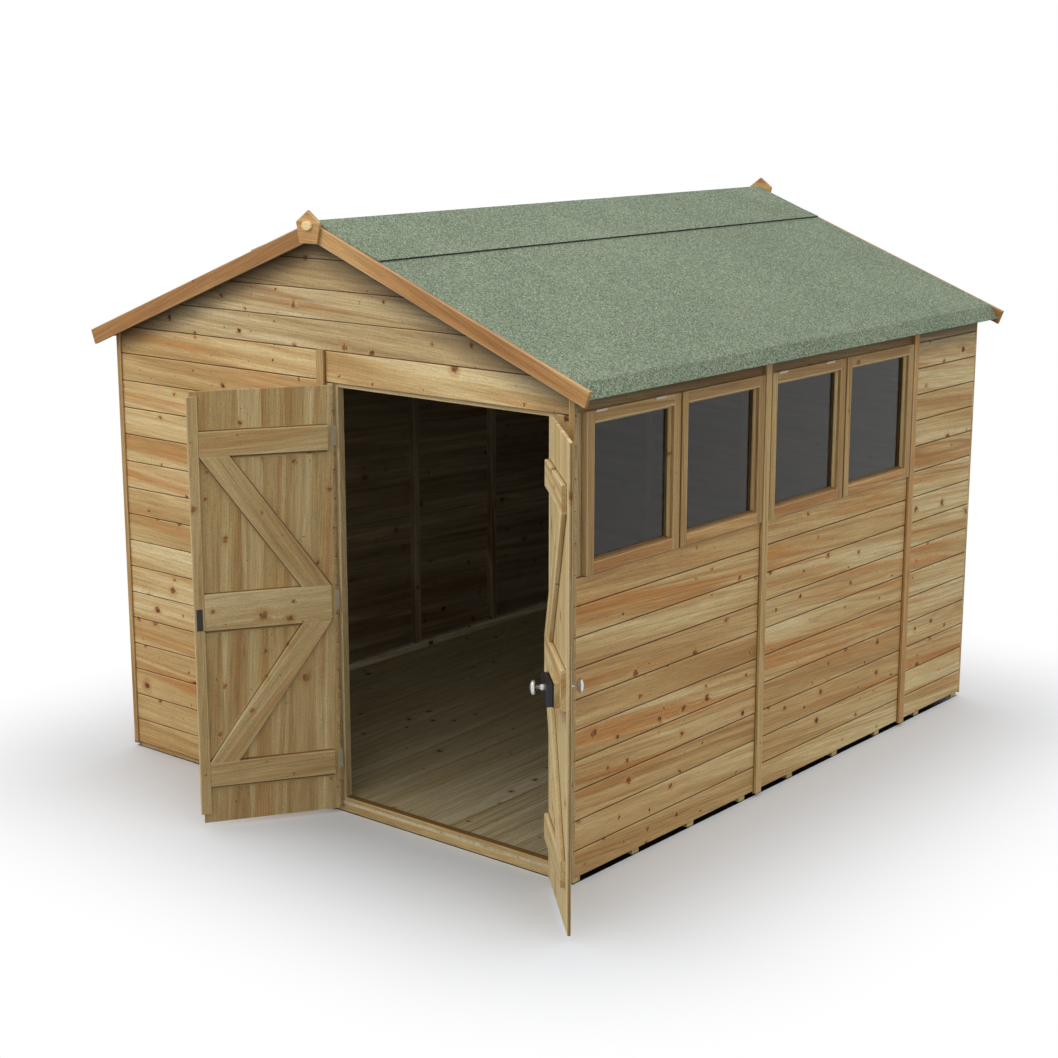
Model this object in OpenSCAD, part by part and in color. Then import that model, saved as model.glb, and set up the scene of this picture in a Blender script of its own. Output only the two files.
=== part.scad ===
// Timber garden shed with an apex roof, a pair of ledged and braced doors and two pairs of windows.
// Front gable faces -Y, +X is to the right seen from the front, +Z is up.
// The origin is on the ground under the middle floor bearer.

/* [Walls] */
// Width of the building over the side wall boards
body_w = 2490; // [2200:10:3000]
// Length of the building over the gable boards
body_l = 3000; // [2900:10:3600]
// Cover of one level wall board
board_cover = 116.8; // [100:0.1:130]
// Number of boards in the height of a side wall
courses = 16; // [15:1:18]
// Thickness of the wall boards
clad_t = 10; // [8:1:16]
// Depth of the V joint between boards
joint_v = 3; // [1:0.5:4]
// Height of the wall boards' bottom edge above the ground
clad_lift = 16; // [8:1:26]
// Depth of the wall framing, from the boards inwards
frame_d = 32; // [28:1:45]
// Width of a stud along the wall
stud_w = 38; // [28:1:44]
// Height of a wall's bottom and top rails
rail_h = 34; // [28:1:45]
// Distance from the front gable boards to the middle of the first side joint
front_panel_w = 1222; // [1205:1:1240]
// Distance between the middles of the two side joints
middle_panel_w = 1194; // [1190:1:1230]
// Place of the front gable's panel joint, left of the ridge line
gable_joint = 10; // [0:1:20]
// Gap between neighbouring wall panels
panel_gap = 2; // [1:0.5:4]

/* [Floor] */
// Number of floor bearers, an odd number
bearer_count = 9; // [7:2:11]
// Width of a bearer
bearer_w = 44; // [38:1:60]
// Height of a bearer
bearer_h = 32; // [28:1:50]
// Thickness of the floor boards
floor_t = 12; // [10:1:20]
// Number of boards across the floor
floor_board_count = 22; // [16:1:26]

/* [Cover strips] */
// Width of the strips over the panel joints
strip_w = 38; // [30:1:44]
// Thickness of those strips
strip_t = 16; // [10:1:18]
// Width of the strips at the corners
corner_strip_w = 24; // [18:1:44]
// Thickness of the corner strips
corner_strip_t = 8; // [6:1:18]

/* [Roof] */
// Pitch of both roof slopes in degrees
roof_pitch = 21; // [18:0.5:24]
// Reach of the roof beyond the side walls
eave_reach = 85; // [60:5:120]
// Reach of the roof beyond the gable boards
gable_reach = 40; // [30:1:70]
// Thickness of the roof boards
roof_board_t = 12; // [8:1:18]
// Thickness of one layer of roofing felt
felt_t = 3; // [2:0.5:5]
// Clearance under each layer of the roof
roof_seat = 0.05; // [0.02:0.01:0.2]
// Depth of the felt folded down over the eave
felt_lip = 42; // [34:1:60]
// Reach of the ridge sheet down each slope, measured level
ridge_sheet_w = 350; // [200:10:500]
// Width of a roof batten
batten_w = 28; // [22:1:40]
// Depth of a roof batten
batten_h = 26; // [20:1:30]

/* [Bargeboards] */
// Width of a bargeboard, square to the slope
barge_w = 64; // [55:1:90]
// Thickness of a bargeboard
barge_t = 16; // [12:1:22]
// Reach of a bargeboard past the felt at the eave
barge_reach = 15; // [0:1:30]
// Saw cut between the two boards at the ridge
barge_cut = 1; // [0.5:0.5:3]
// Width of a finial at its shoulders
finial_w = 136; // [100:2:160]
// Width of a finial at its foot
finial_foot_w = 100; // [80:2:130]
// Height of a finial's foot below the ridge
finial_drop = 89; // [76:1:110]
// Height of a finial's shoulders above its foot
finial_shoulder = 76; // [60:1:90]
// Height of a finial's point above its shoulders
finial_point = 49; // [30:1:70]
// Thickness of a finial
finial_t = 16; // [12:1:22]
// Diameter of the turned disc on a finial
disc_d = 48; // [36:1:60]
// Thickness of that disc
disc_t = 8; // [5:1:14]

/* [Doorway] */
// Left edge of the doorway in the boards, right of the ridge line
doorway_left = 45; // [30:1:80]
// Width of the boards between the doorway and the right corner
cheek_w = 85; // [80:1:110]
// Height of the boards over the doorway, up to the side walls' height
header_h = 124; // [118:1:150]
// Amount of each jamb and lintel that shows inside the doorway
stop_w = 18; // [12:1:24]
// Width of a jamb
jamb_w = 45; // [36:1:50]
// Height of the lintel
lintel_h = 70; // [50:1:84]
// Height of the sill above the floor
sill_h = 18; // [10:1:26]

/* [Doors] */
// Angle of the left door from closed
left_open = 122; // [0:1:160]
// Angle of the right door from closed
right_open = 136; // [0:1:160]
// Clearance around each door leaf
door_gap = 6; // [5:0.5:8]
// Thickness of a door's boards
door_t = 12; // [10:1:16]
// Number of upright boards in a door
door_board_count = 6; // [4:1:8]
// Height of the doors' bottom edge above the ground
door_lift = 26; // [18:1:40]
// Thickness of the ledges and braces
ledge_t = 18; // [14:1:20]
// Inset of the ledges from the hinge edge
ledge_inset = 20; // [19:1:30]
// Inset of the right door's ledges from its free edge
right_ledge_inset = 62; // [50:1:80]
// Height of the top and bottom ledges
ledge_h = 97; // [80:1:120]
// Height of the middle ledge
middle_ledge_h = 145; // [110:1:150]
// Distance of the top and bottom ledges' middles from the door's ends
ledge_margin = 202; // [150:1:260]
// Length of a brace's foot along its ledge
brace_foot = 116; // [90:1:140]
// Width of the meeting batten on the left door
meeting_w = 42; // [36:1:60]
// Reach of the meeting batten past the left door's boards
meeting_reach = 15; // [12:1:20]

/* [Ironmongery] */
// Height of a butt hinge
hinge_h = 78; // [60:1:90]
// Outer radius of a hinge knuckle
knuckle_r = 4.5; // [4:0.1:5]
// Radius of a hinge pin
pin_r = 2.5; // [2:0.1:3]
// Radial clearance of a pin in its knuckle
pin_clearance = 0.05; // [0.02:0.01:0.1]
// Gap between the knuckles of one hinge
knuckle_gap = 0.4; // [0.3:0.1:1]
// Thickness of a hinge leaf
leaf_t = 1.5; // [1:0.1:2]
// Width of the rim lock
lock_w = 150; // [120:1:170]
// Height of the rim lock
lock_h = 88; // [80:1:110]
// Depth of the rim lock
lock_t = 26; // [20:1:36]
// Inset of the rim lock from the right door's free edge
lock_inset = 95; // [62:1:110]
// Drop of the lock's middle below the middle ledge's
lock_drop = 26; // [10:1:32]
// Thickness of the packing piece between the ledge and the lock
lock_pad_t = 19; // [12:1:22]
// Height of the knobs above the lock's middle
knob_lift = 10; // [0:1:16]
// Diameter of a door knob
knob_d = 54; // [44:1:60]
// Reach of the inner knob from the lock
inner_knob_reach = 50; // [40:1:60]
// Reach of the outer knob from the door
outer_knob_reach = 64; // [40:1:80]
// Height of the keep
keep_h = 86; // [60:1:100]
// Width of the keep
keep_w = 23; // [16:1:26]
// Thickness of the keep
keep_t = 4; // [2:0.5:6]

/* [Windows] */
// Height of one window frame
window_h = 596; // [540:1:600]
// Width of a frame's members
window_member = 44; // [36:1:56]
// Depth of a window frame
window_d = 46; // [40:1:52]
// Amount a window frame stands out from the boards
window_proud = 14; // [2:1:16]
// Gap between the two windows of a pair
window_gap = 3; // [2:0.5:5]
// Thickness of the glass
glass_t = 4; // [3:0.5:6]
// Depth of the glass behind the frame's face
glass_recess = 26; // [12:1:28]

/* [Hidden] */
$fn = 48;
half_w = body_w / 2;
half_l = body_l / 2;
in_x = half_w - clad_t;
in_y = half_l - clad_t;
room_x = in_x - frame_d;
room_y = in_y - frame_d;
floor_top = bearer_h + floor_t;
joint_y = [-half_l + front_panel_w, -half_l + front_panel_w + middle_panel_w];
wall_top = clad_lift + courses * board_cover;

// Roof lines: height of each layer's surface at a distance x from the ridge line
slope = tan(roof_pitch);
felt_v = felt_t / cos(roof_pitch);
board_v = roof_board_t / cos(roof_pitch);
function roof_under(x) = wall_top + (half_w - abs(x)) * slope;
function board_under(x) = roof_under(x) + roof_seat;
function board_top(x) = board_under(x) + board_v;
function felt_under(x) = board_top(x) + roof_seat;
function felt_top(x) = felt_under(x) + felt_v;
function ridge_under(x) = felt_top(x) + roof_seat;
function ridge_top(x) = ridge_under(x) + felt_v;
ridge_h = ridge_top(0);
eave_x = half_w + eave_reach;
roof_y = half_l + gable_reach;
barge_v = barge_w / cos(roof_pitch);
barge_end = eave_x + barge_reach;
barge_face = roof_y + barge_t;

// Doorway and the doors' shared sizes
doorway_right = half_w - cheek_w;
doorway_w = doorway_right - doorway_left;
doorway_top = wall_top - header_h;
stop_top = doorway_top - stop_w;
leaf_w = (doorway_w - 3 * door_gap) / 2;
door_bottom = door_lift;
door_top = doorway_top - door_gap;
door_in = -in_y - door_gap;
door_out = door_in - door_t;
pin_y = door_out - knuckle_r;
pin_x = door_gap / 2;
left_pin = doorway_left + pin_x;
right_pin = doorway_right - pin_x;
ledge_in = door_in + ledge_t;
left_ledge_end = leaf_w - meeting_w + meeting_reach;
right_ledge_end = leaf_w - right_ledge_inset;
bottom_ledge_z = door_bottom + ledge_margin;
top_ledge_z = door_top - ledge_margin;
middle_ledge_z = (bottom_ledge_z + top_ledge_z) / 2;
ledges = [[bottom_ledge_z, ledge_h], [middle_ledge_z, middle_ledge_h], [top_ledge_z, ledge_h]];
knuckle_h = (hinge_h - 2 * knuckle_gap) / 3;
leaf_front = pin_y + knuckle_r + knuckle_gap;
keep_inset = (meeting_w - keep_w) / 2;
lock_x = pin_x + leaf_w - lock_inset;
lock_z = middle_ledge_z - lock_drop;
lock_in = ledge_in + lock_pad_t;

// Windows: a pair fills the space between the studs of each of the two front side panels
// Each window is listed as [start, width] along the wall
window_top = wall_top - board_cover;
window_z = window_top - window_h;
window_x = half_w + window_proud;
post_w = max(stud_w, strip_w);
bay_start = [-in_y + stud_w, joint_y[0] + post_w / 2];
bay_end = [for (y = joint_y) y - post_w / 2];
bay_window_w = [for (i = [0, 1]) (bay_end[i] - bay_start[i] - 3 * window_gap) / 2];
windows = [for (i = [0, 1], k = [0, 1])
    [bay_start[i] + window_gap + k * (bay_window_w[i] + window_gap), bay_window_w[i]]];

pine = "#b99a63";
pine_dark = "#a8743f";
pine_floor = "#8d7a50";
felt_green = "#6f8370";
steel = "#c4c6c8";
iron = "#23242a";

// A box given by its lowest and highest corners
module block(low, high) {
    translate(low) cube(high - low);
}

// A flat shape drawn in X and Z, standing between two Y planes
module standing(y_low, y_high) {
    translate([0, y_high, 0]) rotate([90, 0, 0]) linear_extrude(y_high - y_low) children();
}

module both_sides() {
    children();
    mirror([1, 0, 0]) children();
}

module both_ends() {
    children();
    mirror([0, 1, 0]) children();
}

module floor_bearers() {
    first = in_y - bearer_w / 2;
    step = 2 * first / (bearer_count - 1);
    color(pine)
        for (i = [0 : bearer_count - 1])
            translate([0, -first + i * step, 0])
                block([-in_x, -bearer_w / 2, 0], [in_x, bearer_w / 2, bearer_h]);
}

// A row of boards side by side, drawn flat: thick along Y, with V joints on the +Y face
module board_row(x0, x1, count, thick) {
    cover = (x1 - x0) / count;
    joints = [for (i = [1 : count - 1]) x0 + i * cover];
    face = [for (x = joints) each [[x - joint_v, thick], [x, thick - joint_v], [x + joint_v, thick]]];
    polygon(concat([[x1, 0], [x0, 0], [x0, thick]], face, [[x1, thick]]));
}

module floor_boards() {
    color(pine_floor) translate([0, 0, bearer_h]) standing(-in_y, in_y)
        board_row(-in_x, in_x, floor_board_count, floor_t);
}

// Level wall boards facing +X, with their inner face at x = depth, from y0 to y1 and z0 to z1
module level_boards(depth, y0, y1, z0, z1) {
    first = ceil((z0 + joint_v - clad_lift) / board_cover);
    last = floor((z1 - joint_v - clad_lift) / board_cover);
    joints = [for (i = [first : 1 : last]) clad_lift + i * board_cover];
    face = [for (z = joints) each [[clad_t, z - joint_v], [clad_t - joint_v, z], [clad_t, z + joint_v]]];
    standing(y0, y1) translate([depth, 0])
        polygon(concat([[0, z1], [0, z0], [clad_t, z0]], face, [[clad_t, z1]]));
}

// The same on the front gable, from x0 to x1
module front_boards(x0, x1, z0, z1) {
    rotate([0, 0, -90]) level_boards(in_y, x0, x1, z0, z1);
}

module front_wall_left_panel() {
    color(pine) front_boards(-half_w, -gable_joint, clad_lift, wall_top);
}

module front_wall_over_door() {
    color(pine) front_boards(-gable_joint, half_w, doorway_top, wall_top);
}

module front_wall_door_cheeks() {
    color(pine) {
        front_boards(-gable_joint, doorway_left, clad_lift, doorway_top);
        front_boards(doorway_right, half_w, clad_lift, doorway_top);
    }
}

// Triangle of boards over the wall panels, under the roof
module front_gable() {
    color(pine) intersection() {
        front_boards(-half_w, half_w, wall_top, ridge_h);
        standing(-half_l, -in_y)
            polygon([[-half_w, wall_top], [half_w, wall_top], [0, roof_under(0)]]);
    }
}

module back_gable() {
    mirror([0, 1, 0]) front_gable();
}

module back_wall_panels() {
    color(pine) both_sides() mirror([0, 1, 0])
        front_boards(panel_gap / 2, half_w, clad_lift, wall_top);
}

// Side wall boards from y0 to y1 and z0 to z1, on the right
module side_boards(y0, y1, z0, z1) {
    level_boards(in_x, y0, y1, z0, z1);
}

module left_wall_panels() {
    starts = concat([-in_y], [for (y = joint_y) y + panel_gap / 2]);
    ends = concat([for (y = joint_y) y - panel_gap / 2], [in_y]);
    color(pine) mirror([1, 0, 0])
        for (i = [0 : len(starts) - 1])
            side_boards(starts[i], ends[i], clad_lift, wall_top);
}

module right_wall_panels() {
    color(pine) {
        side_boards(-in_y, joint_y[0] - panel_gap / 2, clad_lift, window_z);
        side_boards(joint_y[0] + panel_gap / 2, joint_y[1] - panel_gap / 2, clad_lift, window_z);
        side_boards(joint_y[1] + panel_gap / 2, in_y, clad_lift, wall_top);
    }
}

module right_wall_header_boards() {
    color(pine) {
        side_boards(-in_y, joint_y[0] - panel_gap / 2, window_top, wall_top);
        side_boards(joint_y[0] + panel_gap / 2, joint_y[1] - panel_gap / 2, window_top, wall_top);
    }
}

// One gable stud with its middle at x, at the front end
module gable_stud(x, z0, z1, w = stud_w) {
    block([x - w / 2, -in_y, z0], [x + w / 2, -room_y, z1]);
}

module gable_studs() {
    foot = floor_top + rail_h;
    head = wall_top - rail_h;
    end_x = room_x - stud_w / 2;
    king_top = roof_under(stud_w / 2);
    color(pine) {
        for (x = [-end_x, -end_x / 2, -gable_joint - stud_w / 2])
            gable_stud(x, foot, head);
        gable_stud(doorway_left + stop_w - jamb_w / 2, floor_top, head, jamb_w);
        gable_stud(doorway_right - stop_w + jamb_w / 2, floor_top, head, jamb_w);
        both_ends() gable_stud(0, wall_top, king_top);
        mirror([0, 1, 0])
            for (x = [-end_x, -end_x / 2, 0, end_x / 2, end_x])
                gable_stud(x, foot, head);
    }
}

// One gable rail from x0 to x1, at the front end
module gable_rail(x0, x1, z0, z1) {
    block([x0, -in_y, z0], [x1, -room_y, z1]);
}

module gable_rails() {
    jamb_x = [doorway_left + stop_w, doorway_right - stop_w];
    color(pine) {
        gable_rail(-room_x, jamb_x[0] - jamb_w, floor_top, floor_top + rail_h);
        gable_rail(jamb_x[0], jamb_x[1], stop_top, stop_top + lintel_h);
        both_ends() gable_rail(-room_x, room_x, wall_top - rail_h, wall_top);
        mirror([0, 1, 0]) gable_rail(-room_x, room_x, floor_top, floor_top + rail_h);
    }
}

// Sloping top rails of the gable frames, between the king stud and the side walls
module gable_rafters() {
    near = stud_w / 2;
    low_x = (roof_under(0) - rail_h - wall_top) / slope;
    color(pine) both_ends() both_sides() standing(-in_y, -room_y)
        polygon([
            [near, roof_under(near)], [room_x, roof_under(room_x)], [room_x, wall_top],
            [low_x, wall_top], [near, roof_under(near) - rail_h]
        ]);
}

// One side wall stud with its middle at y, on the right
module side_stud(y, z0, z1) {
    block([room_x, y - stud_w / 2, z0], [in_x, y + stud_w / 2, z1]);
}

module side_wall_studs() {
    foot = floor_top + rail_h;
    head = wall_top - rail_h;
    ends = [-in_y + stud_w / 2, in_y - stud_w / 2];
    color(pine) {
        both_sides() for (y = concat(ends, joint_y)) side_stud(y, foot, head);
        for (i = [0, 1]) side_stud((bay_start[i] + bay_end[i]) / 2, foot, window_z - rail_h);
        mirror([1, 0, 0]) {
            side_stud((ends[0] + joint_y[0]) / 2, foot, head);
            side_stud((joint_y[0] + joint_y[1]) / 2, foot, head);
        }
    }
}

module side_wall_rails() {
    rail_start = [-in_y + stud_w, joint_y[0] + stud_w / 2];
    color(pine) {
        both_sides() for (z = [floor_top, wall_top - rail_h])
            block([room_x, -in_y, z], [in_x, in_y, z + rail_h]);
        for (i = [0, 1], z = [window_z - rail_h, window_top])
            block([room_x, rail_start[i], z], [in_x, joint_y[i] - stud_w / 2, z + rail_h]);
    }
}

module doorway_sill() {
    color(pine_dark)
        gable_rail(doorway_left + stop_w, doorway_right - stop_w, floor_top, floor_top + sill_h);
}

// Upright strips over the four corners, on the gable boards, cut to the roof's slope
module corner_strips() {
    near = half_w - corner_strip_w;
    color(pine_dark) both_ends() both_sides() standing(-half_l - corner_strip_t, -half_l)
        polygon([
            [near, clad_lift], [half_w, clad_lift], [half_w, roof_under(half_w)], [near, roof_under(near)]
        ]);
}

// Upright strips over the panel joints of the side walls and the gables
module cover_strips() {
    reach = half_w + strip_t;
    color(pine_dark) {
        both_sides() for (y = joint_y)
            translate([0, y, 0])
                block([half_w, -strip_w / 2, clad_lift], [reach, strip_w / 2, roof_under(reach)]);
        translate([-gable_joint, -half_l, 0])
            block([-strip_w / 2, -strip_t, clad_lift], [strip_w / 2, 0, wall_top]);
        translate([0, half_l, 0])
            block([-strip_w / 2, 0, clad_lift], [strip_w / 2, strip_t, wall_top]);
    }
}

module window_stiles() {
    color(pine_dark)
        for (window = windows, side = [0, window[1] - window_member])
            translate([0, window[0] + side, 0])
                block([window_x - window_d, 0, window_z], [window_x, window_member, window_top]);
}

module window_rails() {
    color(pine_dark)
        for (window = windows, z = [window_z, window_top - window_member])
            translate([0, window[0], z])
                block([window_x - window_d, window_member, 0],
                      [window_x, window[1] - window_member, window_member]);
}

module window_glass() {
    glass_x = window_x - glass_recess;
    color("#46484a")
        for (window = windows)
            translate([0, window[0], 0])
                block([glass_x - glass_t, window_member, window_z + window_member],
                      [glass_x, window[1] - window_member, window_top - window_member]);
}

module roof_boards_right() {
    far = eave_x - felt_t;
    color(pine) standing(-roof_y, roof_y)
        polygon([
            [0, board_top(0)], [far, board_top(far)], [far, board_under(far)], [0, board_under(0)]
        ]);
}

module roof_boards_left() {
    mirror([1, 0, 0]) roof_boards_right();
}

// One roof batten under the right slope, with its far side at x
module roof_batten(x, y_end) {
    standing(-y_end, y_end)
        polygon([
            [x - batten_w, roof_under(x - batten_w)], [x, roof_under(x)],
            [x, roof_under(x) - batten_h], [x - batten_w, roof_under(x - batten_w) - batten_h]
        ]);
}

module roof_battens() {
    color(pine) both_sides() {
        roof_batten(eave_x - felt_t, roof_y);
        roof_batten(half_w / 2, room_y);
        roof_batten(stud_w / 2 + batten_w, room_y);
    }
}

module roof_felt_right() {
    far = eave_x - felt_t;
    color(felt_green) standing(-roof_y, roof_y)
        polygon([
            [0, felt_top(0)], [eave_x, felt_top(eave_x)], [eave_x, felt_top(eave_x) - felt_lip],
            [far, felt_top(eave_x) - felt_lip], [far, felt_under(far)], [0, felt_under(0)]
        ]);
}

module roof_felt_left() {
    mirror([1, 0, 0]) roof_felt_right();
}

// Ridge sheet, lapped over the tops of both slopes
module roof_ridge_felt() {
    edge = ridge_sheet_w;
    color(felt_green) standing(-roof_y, roof_y)
        polygon([
            [-edge, ridge_under(edge)], [-edge, ridge_top(edge)], [0, ridge_h],
            [edge, ridge_top(edge)], [edge, ridge_under(edge)], [0, ridge_under(0)]
        ]);
}

module bargeboards() {
    end_z = felt_top(barge_end);
    near = barge_cut / 2;
    color(pine_dark) both_ends() both_sides() standing(-barge_face, -roof_y)
        polygon([
            [near, felt_top(near)], [barge_end, end_z],
            [barge_end - barge_w * sin(roof_pitch), end_z - barge_w * cos(roof_pitch)],
            [near, felt_top(near) - barge_v]
        ]);
}

module finials() {
    foot_z = ridge_h - finial_drop;
    shoulder_z = foot_z + finial_shoulder;
    color(pine_dark) both_ends() standing(-barge_face - finial_t, -barge_face)
        polygon([
            [-finial_foot_w / 2, foot_z], [finial_foot_w / 2, foot_z], [finial_w / 2, shoulder_z],
            [0, shoulder_z + finial_point], [-finial_w / 2, shoulder_z]
        ]);
}

module finial_discs() {
    disc_z = ridge_h - finial_drop + finial_shoulder - disc_d / 3;
    color(pine) both_ends()
        translate([0, -barge_face - finial_t, disc_z])
            rotate([90, 0, 0]) cylinder(h = disc_t, d = disc_d);
}

// Places a left-hung leaf drawn closed, with its hinge edge at x = pin_x and the pin at x = 0
module hang_left() {
    translate([left_pin, pin_y, 0]) rotate([0, 0, -left_open]) translate([0, -pin_y, 0]) children();
}

// The same for a right-hung leaf, as a mirror image
module hang_right() {
    translate([right_pin, pin_y, 0]) rotate([0, 0, right_open]) mirror([1, 0, 0])
        translate([0, -pin_y, 0]) children();
}

// Places one hinge at the middle of each ledge
module at_each_ledge() {
    for (ledge = ledges) translate([0, 0, ledge[0] - hinge_h / 2]) children();
}

// Fixed half of a butt hinge: outer knuckles, pin and the leaf on the doorway's edge
module fixed_hinge_half() {
    translate([0, pin_y, 0]) {
        cylinder(h = hinge_h, r = pin_r);
        for (z = [0, hinge_h - knuckle_h])
            translate([0, 0, z]) {
                cylinder(h = knuckle_h, r = knuckle_r);
                block([-pin_x, 0, 0], [-pin_x + leaf_t, leaf_front - pin_y + leaf_t, knuckle_h]);
            }
    }
    block([-pin_x, leaf_front, 0], [-pin_x + leaf_t, -in_y, hinge_h]);
}

// Moving half: the middle knuckle and the leaf on the door's edge
module moving_hinge_half() {
    middle_z = knuckle_h + knuckle_gap;
    difference() {
        union() {
            translate([0, pin_y, middle_z]) {
                cylinder(h = knuckle_h, r = knuckle_r);
                block([pin_x - leaf_t, 0, 0], [pin_x, leaf_front - pin_y + leaf_t, knuckle_h]);
            }
            block([pin_x - leaf_t, leaf_front, 0], [pin_x, door_in, hinge_h]);
        }
        translate([0, pin_y, 0]) cylinder(h = hinge_h, r = pin_r + pin_clearance);
    }
}

module hinge_frame_leaves() {
    color(steel) {
        translate([left_pin, 0, 0]) at_each_ledge() fixed_hinge_half();
        translate([right_pin, 0, 0]) mirror([1, 0, 0]) at_each_ledge() fixed_hinge_half();
    }
}

module door_boards() {
    translate([0, door_in, door_bottom]) mirror([0, 1, 0]) linear_extrude(door_top - door_bottom)
        board_row(pin_x, pin_x + leaf_w, door_board_count, door_t);
}

// The three ledges of a leaf, up to a distance from its hinge edge
module door_ledges(end) {
    for (ledge = ledges)
        block([pin_x + ledge_inset, door_in, ledge[0] - ledge[1] / 2],
              [pin_x + end, ledge_in, ledge[0] + ledge[1] / 2]);
}

// The two braces, both leaning from the middle ledge's hinge end towards the free edge
module door_braces(end) {
    hinge_x = pin_x + ledge_inset;
    free_x = pin_x + end;
    low = [bottom_ledge_z + ledge_h / 2, middle_ledge_z - middle_ledge_h / 2];
    high = [middle_ledge_z + middle_ledge_h / 2, top_ledge_z - ledge_h / 2];
    standing(door_in, ledge_in) {
        polygon([
            [free_x - brace_foot, low[0]], [free_x, low[0]],
            [hinge_x + brace_foot, low[1]], [hinge_x, low[1]]
        ]);
        polygon([
            [hinge_x, high[0]], [hinge_x + brace_foot, high[0]],
            [free_x, high[1]], [free_x - brace_foot, high[1]]
        ]);
    }
}

module left_door_boards() {
    color(pine) hang_left() door_boards();
}

module left_door_ledges() {
    color(pine) hang_left() door_ledges(left_ledge_end);
}

module left_door_braces() {
    color(pine) hang_left() door_braces(left_ledge_end);
}

// Rebated batten on the left door's free edge, which the right door closes against
// It ends clear of the sill and the lintel
module left_door_meeting_batten() {
    foot = floor_top + sill_h + door_gap;
    head = stop_top - door_gap;
    x0 = pin_x + left_ledge_end;
    x1 = pin_x + leaf_w;
    x2 = x1 + meeting_reach;
    color(pine) hang_left() translate([0, 0, foot])
        linear_extrude(head - foot)
            polygon([
                [x0, door_in], [x1, door_in], [x1, door_in + door_gap], [x2, door_in + door_gap],
                [x2, ledge_in], [x0, ledge_in]
            ]);
}

module left_door_keep() {
    x0 = pin_x + left_ledge_end + keep_inset;
    color(iron) hang_left()
        block([x0, ledge_in, lock_z - keep_h / 2],
              [x0 + keep_w, ledge_in + keep_t, lock_z + keep_h / 2]);
}

module left_door_hinge_leaves() {
    color(steel) hang_left() at_each_ledge() moving_hinge_half();
}

module right_door_boards() {
    color(pine) hang_right() door_boards();
}

// The ledges, and on the middle one the packing piece that carries the lock
module right_door_ledges() {
    color(pine) hang_right() {
        door_ledges(right_ledge_end);
        block([lock_x - lock_w, ledge_in, lock_z - lock_h / 2], [lock_x, lock_in, lock_z + lock_h / 2]);
    }
}

module right_door_braces() {
    color(pine) hang_right() door_braces(right_ledge_end);
}

module right_door_lock() {
    color(iron) hang_right()
        block([lock_x - lock_w, lock_in, lock_z - lock_h / 2],
              [lock_x, lock_in + lock_t, lock_z + lock_h / 2]);
}

// Turned knob standing up from z = 0 to its reach: a rose, a straight neck and a flattened head
module knob(reach) {
    head_h = knob_d / 3;
    neck_d = knob_d / 3;
    rose_h = knob_d / 10;
    cylinder(h = rose_h, d = knob_d * 0.6);
    cylinder(h = reach - head_h / 2, d = neck_d);
    translate([0, 0, reach - head_h]) rotate_extrude()
        intersection() {
            translate([knob_d / 2 - head_h / 2, head_h / 2]) circle(d = head_h);
            square([knob_d / 2, head_h]);
        }
    translate([0, 0, reach - head_h]) cylinder(h = head_h, d = knob_d - head_h);
}

module right_door_knobs() {
    knob_x = lock_x - lock_w / 2;
    knob_z = lock_z + knob_lift;
    color(steel) hang_right() {
        translate([knob_x, lock_in + lock_t, knob_z]) rotate([-90, 0, 0]) knob(inner_knob_reach);
        translate([knob_x, door_out, knob_z]) rotate([90, 0, 0]) knob(outer_knob_reach);
    }
}

module right_door_hinge_leaves() {
    color(steel) hang_right() at_each_ledge() moving_hinge_half();
}

floor_bearers();
floor_boards();
front_wall_left_panel();
front_wall_over_door();
front_wall_door_cheeks();
front_gable();
back_gable();
back_wall_panels();
left_wall_panels();
right_wall_panels();
right_wall_header_boards();
gable_studs();
gable_rails();
gable_rafters();
side_wall_studs();
side_wall_rails();
doorway_sill();
corner_strips();
cover_strips();
window_stiles();
window_rails();
window_glass();
roof_boards_left();
roof_boards_right();
roof_battens();
roof_felt_left();
roof_felt_right();
roof_ridge_felt();
bargeboards();
finials();
finial_discs();
hinge_frame_leaves();
left_door_boards();
left_door_ledges();
left_door_braces();
left_door_meeting_batten();
left_door_keep();
left_door_hinge_leaves();
right_door_boards();
right_door_ledges();
right_door_braces();
right_door_lock();
right_door_knobs();
right_door_hinge_leaves();
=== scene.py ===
"""Looks of the wooden garden shed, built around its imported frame.

Metres, front gable and doors towards -Y, windows towards +X, +Z up.
"""
import math
import random

import bmesh
import bpy
from mathutils import Matrix, Vector


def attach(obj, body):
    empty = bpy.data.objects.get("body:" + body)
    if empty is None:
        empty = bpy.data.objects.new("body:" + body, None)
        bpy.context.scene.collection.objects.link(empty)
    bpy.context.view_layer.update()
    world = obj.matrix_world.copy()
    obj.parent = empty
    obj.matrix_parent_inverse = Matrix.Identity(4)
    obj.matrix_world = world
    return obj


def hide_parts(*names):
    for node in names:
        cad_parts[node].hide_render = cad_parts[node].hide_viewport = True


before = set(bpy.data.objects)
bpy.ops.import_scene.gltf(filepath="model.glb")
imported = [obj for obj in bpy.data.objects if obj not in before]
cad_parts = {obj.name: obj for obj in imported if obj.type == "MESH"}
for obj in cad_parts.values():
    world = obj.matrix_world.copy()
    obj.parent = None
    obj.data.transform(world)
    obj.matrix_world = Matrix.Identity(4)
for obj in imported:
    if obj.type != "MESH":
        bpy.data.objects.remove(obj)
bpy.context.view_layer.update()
dice = random.Random(20)

X, Y, Z = Vector((1, 0, 0)), Vector((0, 1, 0)), Vector((0, 0, 1))

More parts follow.
